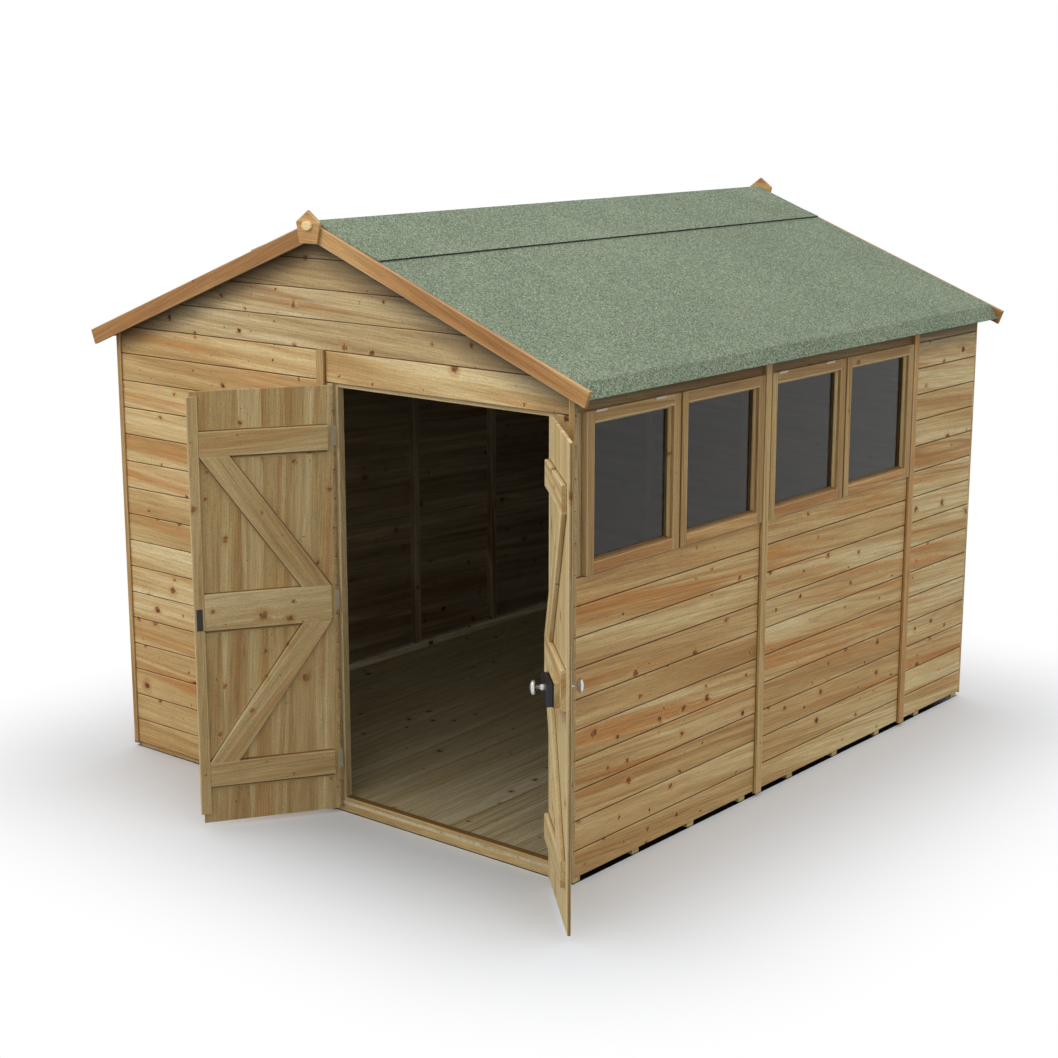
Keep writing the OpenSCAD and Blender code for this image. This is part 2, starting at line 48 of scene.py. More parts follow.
# Sizes in metres, as in the part's source: walls, boards and panel joints
half_w, half_l = 1.245, 1.5
in_x, in_y = 1.235, 1.49
room_x, room_y = 1.203, 1.458
frame_d = in_x - room_x
board_t, cover, lift, first_edge = 0.01, 0.1168, 0.016, 0.025
wall_top = lift + 16 * cover
gable_joint, joint_y, joint_half = -0.01, (-0.278, 0.916), 0.001
strip_w, strip_t = 0.038, 0.016
corner_w, corner_t = 0.024, 0.008
# Floor and framing
bearer_w, bearer_h, plank_t, floor_top = 0.044, 0.032, 0.012, 0.044
sill_h, stud_w, jamb_w, rail_h, lintel_h = 0.018, 0.038, 0.045, 0.034, 0.07
# Roof
slope, tilt = math.tan(math.radians(21)), math.cos(math.radians(21))
eave_x, roof_y = 1.33, 1.54
roof_board_t, roof_seat, felt_t, felt_lip, ridge_sheet = 0.012, 0.00005, 0.003, 0.042, 0.35
batten_w, batten_h = 0.028, 0.026
barge_w, barge_t, barge_end = 0.064, 0.016, 1.345
finial_t = 0.014
# Doors, lock and knobs
doorway_left, doorway_right, doorway_top, stop_w = 0.045, 1.16, wall_top - 0.124, 0.018
door_gap = 0.006
leaf_w = (doorway_right - doorway_left - 3 * door_gap) / 2
pin_x, pin_y = 0.003, -1.5125
door_in, door_out, door_t = -1.496, -1.508, 0.012
door_low, door_top = 0.026, doorway_top - door_gap
ledge_in, ledge_t, ledge_inset, ledge_end = -1.478, 0.018, 0.02, 0.202
ledge_z = (door_low + ledge_end, (door_low + door_top) / 2, door_top - ledge_end)
ledge_h = (0.097, 0.145, 0.097)
brace_w, brace_gap = 0.116, 0.0004
meeting_x, meeting_lap = leaf_w - 0.027, 0.015
lock_w, lock_h, lock_t, lock_pad = 0.15, 0.088, 0.026, 0.019
lock_end, lock_z, knob_z = pin_x + leaf_w - 0.095, ledge_z[1] - 0.026, ledge_z[1] - 0.016
# Windows
window_x, window_d, member = 1.259, 0.046, 0.044
window_top, window_low = wall_top - cover, wall_top - cover - 0.596
windows = ((-1.449, -0.876), (-0.873, -0.3), (-0.256, 0.3175), (0.3205, 0.894))
glass_w, glass_t = window_d - 0.026, 0.004


def roof_under(x):
    return wall_top + (half_w - abs(x)) * slope


def felt_top(x):
    return roof_under(x) + 2 * roof_seat + (roof_board_t + felt_t) / tilt


ridge_h = felt_top(0) + roof_seat + felt_t / tilt


def axes(along, across, through, origin=(0, 0, 0)):
    """Matrix that puts a piece drawn along, across and through its timber into the shed."""
    return Matrix.Translation(origin) @ Matrix((along, across, through)).transposed().to_4x4()


# Each door is drawn closed, with its pin on the Z axis of its own frame, then swung to the photo's angle
to_pin = Matrix.Translation((0, -pin_y, 0))
left_hang = (Matrix.Translation((doorway_left + pin_x, pin_y, 0))
             @ Matrix.Rotation(math.radians(-122), 4, "Z") @ to_pin)
right_hang = (Matrix.Translation((doorway_right - pin_x, pin_y, 0))
              @ Matrix.Rotation(math.radians(136), 4, "Z") @ Matrix.Diagonal((-1, 1, 1, 1)) @ to_pin)


# Materials


def colour(text):
    """Linear colour of an sRGB hex value."""
    parts = [int(text[i:i + 2], 16) / 255 for i in (1, 3, 5)]
    return [c / 12.92 if c <= 0.04045 else ((c + 0.055) / 1.055) ** 2.4 for c in parts] + [1.0]


def nodes_in(tree):
    """Empties a tree and gives the function that adds nodes to it."""
    tree.nodes.clear()
    modes = {"Mix": "data_type", "MapRange": "interpolation_type"}

    def add(kind, *inputs, stops=(), **settings):
        """Adds a node; after a slash comes its operation, data type or interpolation. Inputs fill its sockets
        in order, settings name properties or sockets (_ for spaces), stops are a ramp's places and colours. A
        node among these stands for its first output, and is linked."""
        kind, _, mode = kind.partition("/")
        node = tree.nodes.new("ShaderNode" + kind)
        if mode:
            setattr(node, modes.get(kind, "operation"), mode)
        for key in [k for k in settings if hasattr(node, k)]:
            setattr(node, key, settings.pop(key))
        sockets = [s for s in node.inputs if s.enabled]
        named = {s.name.replace(" ", "_"): s for s in reversed(sockets)}
        for socket, value in [*zip(sockets, inputs), *((named[k], v) for k, v in settings.items())]:
            if isinstance(value, bpy.types.Node):
                value = next(o for o in value.outputs if o.enabled)
            if isinstance(value, bpy.types.NodeSocket):
                tree.links.new(value, socket)
            else:
                socket.default_value = value
        if stops:
            ramp = node.color_ramp.elements
            for place, text in stops:
                ramp.new(place).color = colour(text)
            ramp.remove(ramp[0])
            ramp.remove(ramp[-1])
        return node

    return add


def new_material(name):
    material = bpy.data.materials.new(name)
    material.use_nodes = True
    return material, nodes_in(material.node_tree)


def timber(name, pale, honey, heart, orange, knots=0.5, bands=1.0, roughness=0.62, lines=0.5, dark=1.0,
           painted_eave_shade=False):
    """Planed softwood. The saw cuts along the growth rings, so the face shows fine lines 5 to 10 mm apart
    that bend round the knots, streaks of 20 to 40 mm, and slow bands of orange heartwood that lean across the
    boards. Knots are 8 to 30 mm, brown and broken by dark bark, with an orange flush; pin knots are 4 mm."""
    material, add = new_material(name)
    grain, sheet = (add("Attribute", attribute_name=n).outputs["Vector"] for n in ("grain", "sheet"))
    tone, edge = (add("Attribute", attribute_name=n).outputs["Fac"] for n in ("tone", "edge"))

    # Knots: a chance in each 150 by 130 mm of the face, with a ragged outline
    tremble = add("TexNoise", grain, Scale=1 / 0.016, Detail=3, Roughness=0.6)
    shake = add("VectorMath/MULTIPLY_ADD", tremble.outputs["Color"], (0.026, 0.034, 0), (-0.013, -0.017, 0))
    ragged = add("VectorMath/ADD", grain, shake)

    def scattered(along, across, odds):
        cells = add("VectorMath/MULTIPLY", ragged, (1 / along, 1 / across, 0))
        cell = add("TexVoronoi", cells, voronoi_dimensions="2D", Scale=1)
        chance = add("SeparateColor", cell.outputs["Color"])
        return cell, chance, add("Math/LESS_THAN", chance, odds)

    knot, chance, there = scattered(0.15, 0.13, knots)
    size = add("MapRange", add("Math/POWER", chance.outputs[1], 2), To_Min=0.036, To_Max=0.115)
    ratio = add("Math/DIVIDE", knot, size)
    core = add("Math/MULTIPLY", add("MapRange/SMOOTHSTEP", ratio, 1.25, 0.75, 0, dark), there)
    halo = add("Math/MULTIPLY", add("MapRange/SMOOTHSTEP", ratio, 3, 0.9), there)
    pin, _, pin_there = scattered(0.075, 0.06, 0.3 * knots)
    pins = add("Math/MULTIPLY", add("MapRange", pin, 0.055, 0.03, 0, 0.8), pin_there)

    # Place across the rings, bent slowly along the board and round each knot
    bend = add("TexNoise", add("VectorMath/MULTIPLY", grain, (1.3, 6, 6)), Scale=1, Detail=1)
    plain = add("VectorMath/LENGTH", add("VectorMath/MULTIPLY", grain, (0, 1, 1)))
    bent = add("Math/MULTIPLY_ADD", bend, 0.03, plain)
    ring = add("Math/MULTIPLY_ADD", halo, 0.01, bent)
    at = add("CombineXYZ", add("SeparateXYZ", grain), ring, tone)
    line_at = add("VectorMath/MULTIPLY", at, (0.9, 1 / 0.0065, 40))
    line = add("TexNoise", line_at, Scale=1, Roughness=0.6)
    streak_at = add("VectorMath/MULTIPLY", at, (0.45, 1 / 0.024, 23))
    streak = add("TexNoise", streak_at, Scale=1)

    # Slow bands run on from board to board, as boards of one log laid in order
    wide_at = add("VectorMath/MULTIPLY", sheet, (0.75, 1 / 0.15, 1))
    wide = add("TexNoise", wide_at, Scale=1, Distortion=0.3)
    warm_at = add("VectorMath/MULTIPLY_ADD", sheet, (0.6, 1 / 0.1, 1), (31, 17, 5))
    warm = add("TexNoise", warm_at, Scale=1, Detail=3, Roughness=0.55)
    banded = add("Math/MULTIPLY_ADD", wide, 1.6 * bands, 0.36 - 0.8 * bands)
    streaked = add("Math/MULTIPLY_ADD", streak, 0.7 + 0.6 * bands, banded)
    toned = add("Math/MULTIPLY_ADD", tone, 0.34, streaked)
    placed = add("Math/SUBTRACT", toned, 0.38 + 0.3 * bands, use_clamp=True)
    ramp = add("ValToRGB", placed, stops=((0.1, pale), (0.45, honey), (0.9, heart)))
    torn = add("Math/MULTIPLY_ADD", streak, 0.35, warm)
    flush = add("MapRange/SMOOTHSTEP", torn, 0.7, 0.88, 0, 0.85 * bands)
    warmed = add("Mix/RGBA", flush, ramp, colour(orange))

    # Late wood darkens the lines
    late = add("MapRange", line, 0.46, 0.72, 0, lines)
    lined = add("Mix/RGBA", late, warmed, colour("#b08d62"), blend_type="MULTIPLY")
    # Fibres of 1 mm are too fine to show at this distance, so they are drawn 4 mm wide and 120 mm long, and
    # the planer's fuzz across them 6 mm wide
    thin = add("VectorMath/MULTIPLY", grain, (1 / 0.12, 1 / 0.004, 1 / 0.004))
    fibre = add("TexNoise", thin, Scale=1, Roughness=0.6)
    mottle = add("Mix", 0.35, fibre, add("TexNoise", grain, Scale=1 / 0.006, Detail=1))
    haired = add("VectorMath/SCALE", lined, add("MapRange", mottle, 0.32, 0.68, 0.74, 1.24))

    # Knots flush the wood round them; planed arrises are pale, worn and in places a painted highlight; joints
    # and contacts hold dust and painted shade
    haloed = add("Mix/RGBA", add("Math/MULTIPLY", halo, 0.5), haired, colour(orange))
    bark = add("MapRange", tremble, 0.44, 0.56)
    knot_wood = add("Mix/RGBA", bark, colour("#4e2b12"), colour("#94602f"))
    knotted = add("Mix/RGBA", core, haloed, knot_wood)
    pinned = add("Mix/RGBA", pins, knotted, colour("#55311a"))
    wear_and_highlight = add("Math/MULTIPLY", edge, 0.3, use_clamp=True)
    paled = add("Mix/RGBA", wear_and_highlight, pinned, colour("#ead7b0"))
    dust_and_shade = add("Math/MULTIPLY", edge, -0.85, use_clamp=True)
    result = add("Mix/RGBA", dust_and_shade, paled, colour("#5b3a06"))
    if painted_eave_shade:
        # Painted shade under the roof's overhang and barges: the boards darken towards the roof line within
        # 175 mm of it, reaching 20 mm lower on the right side
        where = add("TexCoord").outputs["Object"]
        shade_shift = add("VectorMath/ADD", where, (0.05, 0, 0))
        height = add("VectorMath/DOT_PRODUCT", add("VectorMath/ABSOLUTE", shade_shift), (slope, 0, 1))
        eave_shade = add("MapRange", height, roof_under(0) - 0.045, roof_under(0) - 0.175, 0.2)
        result = add("VectorMath/SCALE", result, eave_shade)

    gloss = add("MapRange", fibre, To_Min=roughness - 0.08, To_Max=roughness + 0.08)
    relief = add("Math/MULTIPLY_ADD", line, -0.7, fibre)
    bump = add("Bump", Strength=0.3, Distance=0.0006, Height=relief)
    add("OutputMaterial", add("BsdfPrincipled", result, IOR=1.5, Specular_IOR_Level=0.35, Roughness=gloss,
                              Normal=bump))
    return material


# Pressure-treated pine, planed: straw and honey with a slight green cast from the treatment
wall_pine = timber("treated_pine_boards", "#e0cb98", "#cfae76", "#b78f58", "#c48a49", painted_eave_shade=True)
# The front gable's boards, a little paler: painted light for the lit front
front_pine = timber("pale_pine_front", "#e3cf9e", "#d3b57e", "#ba955d", "#c38b4e", bands=1.1, lines=0.3,
                    painted_eave_shade=True)
# The boards of the gable, from greyer stock
gable_pine = timber("grey_pine_gable", "#dccaa0", "#c8b080", "#ab8f62", "#b68955", painted_eave_shade=True)
# The same pine in the doors, a little greyer
door_pine = timber("treated_pine_doors", "#d8c494", "#c2a874", "#aa8b58", "#b5854d", knots=0.42, bands=0.65,
                   lines=0.3, dark=0.75)
# Planed strips and window members: olive tan, straight grain, few knots
trim_pine = timber("tan_pine_trim", "#cfb27a", "#b89761", "#9f7d4c", "#a87c48", knots=0.12, bands=0.7)
# Bargeboards, finials, lower window rails and rear cover strips, from redder stock
barge_pine = timber("red_pine_barges", "#cca36a", "#bb8c54", "#a37543", "#a8703b", knots=0.1)
# Rough-sawn faces inside, greyer and darker than the planed ones: partly painted shade that keeps the room
# dim
sawn_pine = timber("sawn_pine_inside", "#ab9d80", "#92846a", "#78684f", "#7d6142", knots=0.4, roughness=0.85)
# Studs and jambs at the ends, browner
jamb_pine = timber("brown_pine_jambs", "#cab68a", "#b8a277", "#a28d64", "#a48459", knots=0.15, bands=0.7)
# Rails inside, bare and pale
rail_pine = timber("bare_pine_rails", "#efe8d2", "#e0d7bb", "#c8bb98", "#b89c72", knots=0.3, bands=0.6,
                   roughness=0.8)
# Floor boards, dusty and very pale: partly painted light for the dim room inside
floor_pine = timber("dusty_pine_floor", "#ebe0bd", "#dccfa5", "#c6b488", "#bd9f6c", knots=0.3, bands=0.5,
                    roughness=0.7)


def roofing_felt():
    """Bitumen felt faced with crushed green stone. Grit of about 1 mm is too fine to show at this distance,
    so it is drawn as 4 mm grains, pale and dark, in 6.5 mm clumps, with a slow drift from the rolling."""
    material, add = new_material("green_mineral_felt")
    where = add("TexCoord").outputs["Object"]
    grit = add("TexVoronoi", where, Scale=1 / 0.004)
    each = add("SeparateColor", grit.outputs["Color"])
    clump = add("TexNoise", where, Scale=1 / 0.0065, Detail=1)
    drift = add("TexNoise", where, Scale=1 / 0.4, Detail=1)
    mixed = add("Math/MULTIPLY_ADD", each, 0.55, clump)
    shifted = add("Math/MULTIPLY_ADD", drift, 0.15, -0.35)
    value = add("Math/ADD", mixed, shifted)
    ramp = add("ValToRGB", value, stops=((0.15, "#4d5b48"), (0.5, "#7b8871"), (0.85, "#acb79f")))
    bump = add("Bump", Strength=0.6, Distance=0.0015, Height=mixed)
    add("OutputMaterial", add("BsdfPrincipled", ramp, Roughness=0.93, Specular_IOR_Level=0.25, Normal=bump))
    return material


def mottled(name, stops, roughness, sheen, strength, depth, **spots):
    """A dull solid whose colour and relief follow the same spots."""
    material, add = new_material(name)
    lumps = add("TexNoise", add("TexCoord").outputs["Object"], **spots)
    ramp = add("ValToRGB", lumps, stops=stops)
    bump = add("Bump", Strength=strength, Distance=depth, Height=lumps)
    add("OutputMaterial", add("BsdfPrincipled", ramp, Roughness=roughness, Specular_IOR_Level=sheen,
                              Normal=bump))
    return material


def glazing():
    """Clear sheet over a dark room. Faint rolled waves, a third of a metre apart, and a film of dirt in
    patches of 55 mm keep its reflection from being perfectly flat."""
    material, add = new_material("window_sheet_glass")
    where = add("TexCoord").outputs["Object"]
    roll = add("TexNoise", where, Scale=3, Detail=1)
    bump = add("Bump", Strength=0.05, Distance=0.002, Height=roll)
    film = add("TexNoise", where, Scale=18, Detail=3)
    gloss = add("MapRange", film, To_Min=0.03, To_Max=0.07)
    add("OutputMaterial", add("BsdfPrincipled", colour("#a3a4a1"), Transmission_Weight=1, IOR=1.3,
                              Roughness=gloss, Normal=bump))
    return material


def metal(name, base, metallic, low, high, grain_mm):
    """Pressed and finished metal: an even coat whose gloss varies a little with handling and tool marks."""
    material, add = new_material(name)
    marks = add("TexNoise", add("TexCoord").outputs["Object"], Scale=1000 / grain_mm, Detail=4)
    gloss = add("MapRange", marks, To_Min=low, To_Max=high)
    dull = add("MapRange", marks, 0.4, 0.8, 0, 0.35)
    tint = add("Mix/RGBA", dull, colour(base), colour("#8d8d8d"), blend_type="MULTIPLY")
    bump = add("Bump", Strength=0.08, Distance=0.0003, Height=marks)
    add("OutputMaterial", add("BsdfPrincipled", tint, Metallic=metallic, Roughness=gloss, Normal=bump))
    return material


# Bright zinc plating on pressed steel, the same under its grey film of oxide, and satin black enamel on iron
plated_steel = metal("zinc_plated_steel", "#d4d5d8", 1.0, 0.18, 0.36, 6)
dull_zinc = metal("dull_zinc_steel", "#d6d0c0", 0.35, 0.6, 0.75, 6)
black_enamel = metal("black_enamelled_iron", "#191a1c", 0.0, 0.36, 0.54, 4)
# Cut edge of the felt: black bitumen, dull, with a few stones of 6 mm pressed into it
bitumen = mottled("black_bitumen_edge", ((0.45, "#161a18"), (0.85, "#3c463e")), 0.75, 0.3, 0.3, 0.001,
                  Scale=1 / 0.006)
# Pale pine button, sanded smooth: short broken grain of about 4 mm and a slight sheen
button_pine = mottled("sanded_pine_button", ((0.3, "#e6c27f"), (0.7, "#f6e4b6")), 0.55, 0.35, 0.2, 0.0004,
                      Scale=260, Detail=3, Distortion=0.4)
glass, felt = glazing(), roofing_felt()


# Making pieces


def put(name, data):
    """A thing of this data, in the scene."""
    thing = bpy.data.objects.new(name, data)
    bpy.context.scene.collection.objects.link(thing)
    return thing


def drawn(name, points, faces, smooth=None):
    """A mesh, shaded smooth across edges that turn less than so many degrees."""
    mesh = bpy.data.meshes.new(name)
    mesh.from_pydata(points, [], faces, shade_flat=smooth is None)
    if smooth:
        mesh.set_sharp_from_angle(angle=math.radians(smooth))
    return mesh


def settle(mesh, materials, nodes, body="shed"):
    """Makes an object of a mesh with its faces outwards, hangs it on the body it rides on and hides the parts
    it stands for.
    """
    work = bmesh.new()
    work.from_mesh(mesh)
    bmesh.ops.recalc_face_normals(work, faces=work.faces)
    work.to_mesh(mesh)
    work.free()
    for material in materials:
        mesh.materials.append(material)
    piece = put(mesh.name, mesh)
    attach(piece, body)
    if nodes:
        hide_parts(*nodes)
    return piece


def skin(base, n, rings):
    """Faces over rings of n points each, numbered from base, then those that close the first and last."""
    last = base + (rings - 1) * n
    sides = [(a + i, a + j, a + n + j, a + n + i) for a in range(base, last, n)
             for i, j in zip(range(n), [*range(1, n), 0])]
    return sides + [tuple(reversed(range(base, base + n))), tuple(range(last, last + n))]


def shrunk(outline, inward):
    """A convex outline with every edge moved inwards."""
    pairs = list(zip(outline, outline[1:] + outline[:1]))
    turn = 1 if sum(a[0] * b[1] - b[0] * a[1] for a, b in pairs) > 0 else -1
    edges = []
    for a, b in pairs:
        run = Vector((b[0] - a[0], b[1] - a[1])).normalized()
        normal = Vector((-run.y, run.x)) * turn
        edges.append((normal, normal.dot(Vector(a)) + inward))
    found = []
    for (n1, d1), (n2, d2) in zip(edges[-1:] + edges[:-1], edges):
        cross = n1.x * n2.y - n1.y * n2.x
        found.append(((d1 * n2.y - d2 * n1.y) / cross, (n1.x * d2 - n2.x * d1) / cross))
    return found


def sheet_of(boxes, name, slot, material, ease, *nodes, body="shed"):
    """Plates of metal or glass with ground edges, from (low corner, high corner, place) boxes."""
    points, faces = [], []
    for low, high, place in boxes:
        outline = [(low[0], low[1]), (high[0], low[1]), (high[0], high[1]), (low[0], high[1])]
        faces += skin(len(points), 4, 4)
        for inward, w in ((ease, low[2]), (0, low[2] + ease), (0, high[2] - ease), (ease, high[2])):
            points += [place @ Vector((u, v, w)) for u, v in shrunk(outline, inward)]
    return settle(drawn(name, points, faces), (material,), nodes, body)


def turned(profiles, name, slot, material, *nodes, body="shed", sides=40):
    """Round work: (radius, height) profiles spun about the through axis of their place."""
    points, faces = [], []
    for profile, place in profiles:
        rings = []
        for r, h in profile:
            count = sides if r else 1
            rings.append(range(len(points), len(points) + count))
            turns = [2 * math.pi * i / sides for i in range(count)]
            points += [place @ Vector((r * math.cos(a), r * math.sin(a), h)) for a in turns]
        for a, b in zip(rings, rings[1:]):
            for i in range(sides):
                j = (i + 1) % sides
                corners = [a[i % len(a)], a[j % len(a)], b[j % len(b)], b[i % len(b)]]
                faces.append(tuple(dict.fromkeys(corners)))
    return settle(drawn(name, points, faces, 35), (material,), nodes, body)


def between(v0, v1, low_edge, high_edge):
    """Section of a board between two edges, each in (inset, through, wear) steps from its inner face."""
    low, high = ([(v + turn * d, w, wear) for d, w, wear in edge] for v, turn, edge in (
        (v0, 1, low_edge), (v1, -1, high_edge)))
    return low[:1] + high + low[:0:-1]


def eased(v0, v1, w0, w1, r, contact_shade=(0, 0)):
    """Section of a planed piece with its four long edges eased: points across, through, and how pale each is
    from wear or how dark from painted shade. The last argument is how far a painted contact shadow reaches
    beside its two inner edges, on the boards it sits on."""
    k, far = 0.3 * r, min(r + 0.004, 0.45 * (v1 - v0), 0.45 * (w1 - w0))
    bare = [(far, w0, 0), (r, w0, 0.6), (k, w0 + k, 1), (0, w0 + r, 0.6), (0, w0 + far, 0)]
    outer = [(0, w1 - far, 0), (0, w1 - r, 0.6), (k, w1 - k, 1), (r, w1, 0.6), (far, w1, 0)]
    low, high = ([(-d, w0, -0.05), (-d / 2, w0 + 0.0006, -0.9), (0, w0 + 0.0012, -1), (0, w0 + 0.004, -0.3)]
                 if d else bare for d in contact_shade)
    return between(v0, v1, low + outer, high + outer)


class Timber:
    """Lengths of timber that make up one piece. Every point keeps its place in its own log as "grain", which
    is along, across and through it in metres from the log's heart, its place in the run of boards as "sheet",
    its board's "tone" from pale to deep, and at its "edge" how pale it is from wear and painted highlight
    (above 0), or how dark from dust and painted shade (below 0)."""

    def __init__(self):
        self.points, self.faces, self.kinds = [], [], []
        self.marks = {"grain": [], "sheet": [], "tone": [], "edge": []}

    def point(self, place, u, v, w, heart, shift, sheet, tone, edge):
        self.points.append(place @ Vector((u, v, w)))
        # Grain leans about 3 degrees across the boards, and the slow bands 5
        self.marks["grain"] += (u + shift, v - heart[0] + 0.05 * u, w - heart[1])
        self.marks["sheet"] += (u + sheet, v + 0.09 * u, 3 * sheet)
        self.marks["tone"].append(tone)
        self.marks["edge"].append(edge)

    def length(self, section, start, end, place, tone=None, cut=None, cut_wear=0, back=False, sheet=None,
               kind=0, ends=None, painted_start_shade=0):
        """Runs a section of (across, through, wear) points along the grain, from start to end: numbers, or
        functions of across. The cut ends get a tone of their own. With back, its inner face is the sawn one.
        Kind and ends number the materials of its faces and ends, and the last argument is painted shade that
        darkens it towards its start."""
        tone = dice.random() if tone is None else tone
        cut = min(1.0, tone + 0.2) if cut is None else cut
        sheet = dice.uniform(0, 40) if sheet is None else sheet
        base, n = len(self.points), len(section)
        middle = sum(p[0] for p in section) / n
        heart = (middle + dice.uniform(-0.2, 0.2), -dice.uniform(0.02, 0.1))
        shift = dice.uniform(0, 60)
        for shade, cut_end in ((tone, False), (cut, True)):
            for reach, start_darkening in ((start, painted_start_shade), (end, 0)):
                for v, w, wear in section:
                    u, edge = reach(v) if callable(reach) else reach, cut_wear if cut_end else wear - start_darkening
                    self.point(place, u, v, w, heart, shift, sheet, shade, edge)
        # Sides between the first two rings, ends on the last two
        self.faces += skin(base, n, 2)[:n] + skin(base + 2 * n, n, 2)[n:]
        around = zip(section, section[1:] + section[:1])
        self.kinds += [1 if back and a[1] == b[1] == 0 else kind for a, b in around]
        self.kinds += [kind if ends is None else ends] * 2

    def plate(self, outline, depth, ease, place, tone=None, contact_shade=None):
        """A shaped plate: a convex (along, across) outline given thickness, with its edges eased. The last
        argument is how far a painted contact shadow reaches beside it."""
        tone = dice.random() if tone is None else tone
        heart = (dice.uniform(-0.2, 0.2), -dice.uniform(0.02, 0.06))
        shift, sheet = dice.uniform(0, 60), dice.uniform(0, 40)
        k = 0.3 * ease
        bare = ((ease, 0, 0), (k, k, 0.6))
        footing = ((-contact_shade, 0, -0.05), (-contact_shade / 2, 0.0006, -0.6), (0, 0.0012, -1)) if contact_shade else bare
        steps = (*footing, (0, 0.004, -0.3), (0, depth - ease - 0.004, 0), (0, depth - ease, 0.6),
                 (k, depth - k, 1), (ease, depth, 0.6), (ease + 0.004, depth, 0))
        faces = skin(len(self.points), len(outline), len(steps))
        for inward, w, wear in steps:
            for u, v in shrunk(outline, inward):
                self.point(place, u, v, w, heart, shift, sheet, tone, wear)
        self.faces += faces
        self.kinds += [0] * len(faces)

    def make(self, name, slot, materials, *nodes, body="shed"):
        mesh = drawn(name, self.points, self.faces)
        for mark, values in self.marks.items():
            kind, field = ("FLOAT_VECTOR", "vector") if mark in ("grain", "sheet") else ("FLOAT", "value")
            mesh.attributes.new(mark, kind, "POINT").data.foreach_set(field, values)
        mesh.polygons.foreach_set("material_index", self.kinds)
        return settle(mesh, materials, nodes, body)


# Wall boards

front, back = axes(X, Z, -Y, (0, -in_y, 0)), axes(X, Z, Y, (0, in_y, 0))
right, left = axes(Y, Z, X, (in_x, 0, 0)), axes(Y, Z, -X, (-in_x, 0, 0))


def shiplap(low, high, slot):
    """Section of a wall board: its lower edge stands over a narrow slot at the top of the board below, and
    the slot and the underside of the lip are painted dark with dust and painted shade; a rounded arris below
    the slot catches the light."""
    t = board_t + dice.uniform(-0.0004, 0.0004)
    lip, top = high - slot, high - 0.0002
    return [(low, 0, 0), (low, t - 0.004, -1), (low, t - 0.0008, -0.5), (low + 0.0008, t, 0),
            (low + 0.004, t, 0), (lip - 0.008, t, 0), (lip - 0.003, t, 0.4), (lip - 0.0016, t - 0.0005, 0.6),
            (lip - 0.0006, t - 0.0018, -0.2), (lip, t - 0.005, -1), (top, t - 0.005, -1), (top, 0, 0)]


def clad(work, place, u0, u1, low, high, slot=0.004, deep=0.0, **kinds):
    """Covers a panel with level boards that keep the whole shed's courses, deeper in tone where asked."""
    courses, least = [lift + k * cover for k in range(24)], 0.03
    joints = [low] + [z for z in courses if low + least < z < high - least] + [high]
    sheet = dice.uniform(0, 40)
    for z0, z1 in zip(joints, joints[1:]):
        board = shiplap(z0, z1, slot)
        work.length(board, u0, u1, place, dice.random() + deep, 0.5, back=True, sheet=sheet, **kinds)


def gable_reach(z):
    return half_w - (z - wall_top) / slope


gable_top = roof_under(0) - 0.001
panel_end, panel_start = gable_joint - joint_half, gable_joint + joint_half
fifth = lift + 5 * cover
work = Timber()
# The lowest five courses of the left panel are deeper in tone: painted shade near the ground and beside the
# open door
clad(work, front, -half_w, panel_end, first_edge, fifth, deep=0.7)
clad(work, front, -half_w, panel_end, fifth, wall_top, deep=0.1)
clad(work, front, panel_start, doorway_left, first_edge, doorway_top, kind=3)
clad(work, front, doorway_right, half_w, first_edge, doorway_top, ends=3)
clad(work, front, panel_start, half_w, doorway_top, wall_top, deep=0.5)
# The gable's boards are deeper in tone: painted shade
clad(work, front, lambda z: -gable_reach(z), gable_reach, wall_top, gable_top, 0.003, deep=0.35, kind=2)
work.make("front_boards", "pine", (front_pine, sawn_pine, gable_pine, jamb_pine), "front_wall_left_panel",
          "front_wall_over_door", "front_wall_door_cheeks", "front_gable")

work = Timber()
for x0, x1 in ((-half_w, -joint_half), (joint_half, half_w)):
    clad(work, back, x0, x1, first_edge, wall_top)
clad(work, back, lambda z: -gable_reach(z), gable_reach, wall_top, gable_top)
work.make("back_boards", "pine", (wall_pine, sawn_pine), "back_wall_panels", "back_gable")

spans = ((-in_y, joint_y[0] - joint_half), (joint_y[0] + joint_half, joint_y[1] - joint_half),
         (joint_y[1] + joint_half, in_y))
work = Timber()
for y0, y1 in spans:
    clad(work, left, y0, y1, first_edge, wall_top)
work.make("left_boards", "pine", (wall_pine, sawn_pine), "left_wall_panels")

# Paler boards towards the back
work = Timber()
for (y0, y1), top, deep in zip(spans, (window_low, window_low, wall_top), (0.0, -0.15, -0.3)):
    clad(work, right, y0, y1, first_edge, top, 0.0054, deep)
work.make("right_boards", "pine", (wall_pine, sawn_pine), "right_wall_panels")

work = Timber()
for y0, y1 in spans[:2]:
    clad(work, right, y0, y1, window_top, wall_top)
work.make("window_header_boards", "pine", (wall_pine, sawn_pine), "right_wall_header_boards")


# Strips over the corners and joints

front_up, back_up = axes(Z, X, -Y, (0, -half_l, 0)), axes(Z, X, Y, (0, half_l, 0))

work = Timber()
for face in (front_up, back_up):
    for x0 in (-half_w, half_w - corner_w):
        work.length(eased(x0, x0 + corner_w, 0, corner_t, 0.0015), lift, roof_under, face, tone=0.55)
work.make("corner_trim", "trim_pine", (trim_pine,), "corner_strips")


def cover_strip(work, middle, top, face, tone, kind=0):
    # A painted contact shadow of 4 mm lies on the boards at each side
    section = eased(middle - strip_w / 2, middle + strip_w / 2, 0, strip_t, 0.002, (0.004, 0.004))
    work.length(section, lift, top, face, tone, kind=kind)


